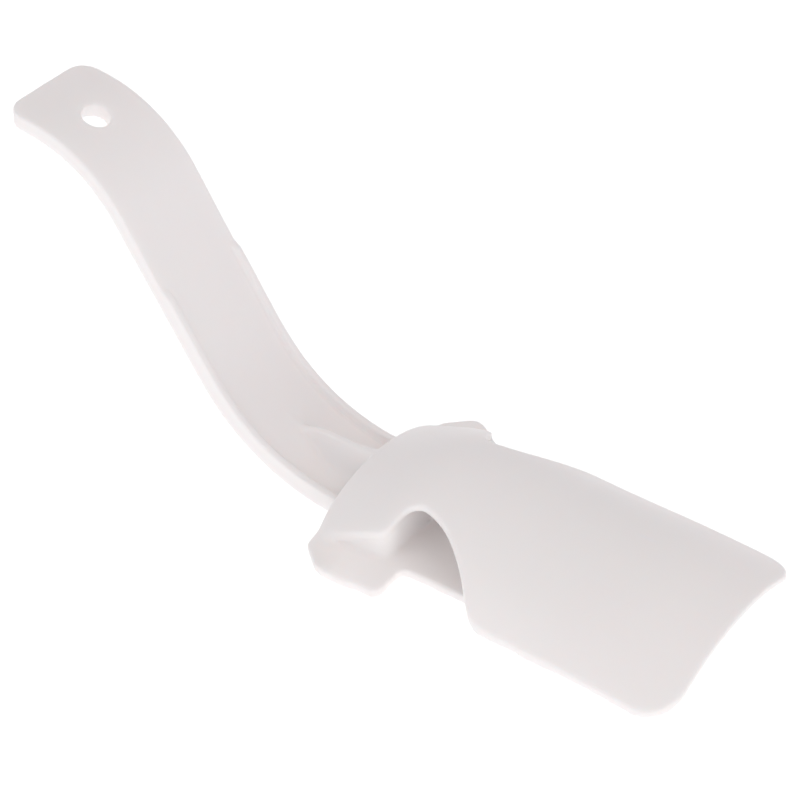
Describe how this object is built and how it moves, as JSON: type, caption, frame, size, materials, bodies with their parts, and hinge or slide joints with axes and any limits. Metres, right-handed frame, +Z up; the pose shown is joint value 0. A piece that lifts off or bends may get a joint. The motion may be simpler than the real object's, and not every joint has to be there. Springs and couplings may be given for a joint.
{
  "type": "hands-free shoe horn",
  "caption": "Moulded plastic shoe and sock slider: an S-curved strap handle with a hanging hole, ending in a clip of a wide arched plate over a flat tongue.",
  "frame": {"origin": "middle of the object's box in plan, at the height of the lowest edges of the ears; the plate's back edge is at x = 0", "axes": "+X from the handle towards the plate's tip, +Y across to the left, +Z up from the tongue to the plate"},
  "size_m": [0.1762, 0.0588, 0.0727],
  "materials": {
    "white_plastic": "satin, slightly translucent"
  },
  "bodies": {
    "moulding": {"handle_strap": "white_plastic", "edge_rib_left": "white_plastic", "edge_rib_right": "white_plastic", "centre_gusset": "white_plastic", "saddle": "white_plastic", "bridge_wall": "white_plastic", "heel_plate": "white_plastic"},
    "tongue": {"clip_tongue": "white_plastic"}
  },
  "joints": [
    {"name": "tongue_flex", "type": "hinge", "parent": "moulding", "child": "tongue", "pos_m": [0.0237, 0, 0.0023], "axis": [0, 1, 0], "range_deg": [0, 8], "stiffness_Nm_per_rad": 2.5}
  ]
}
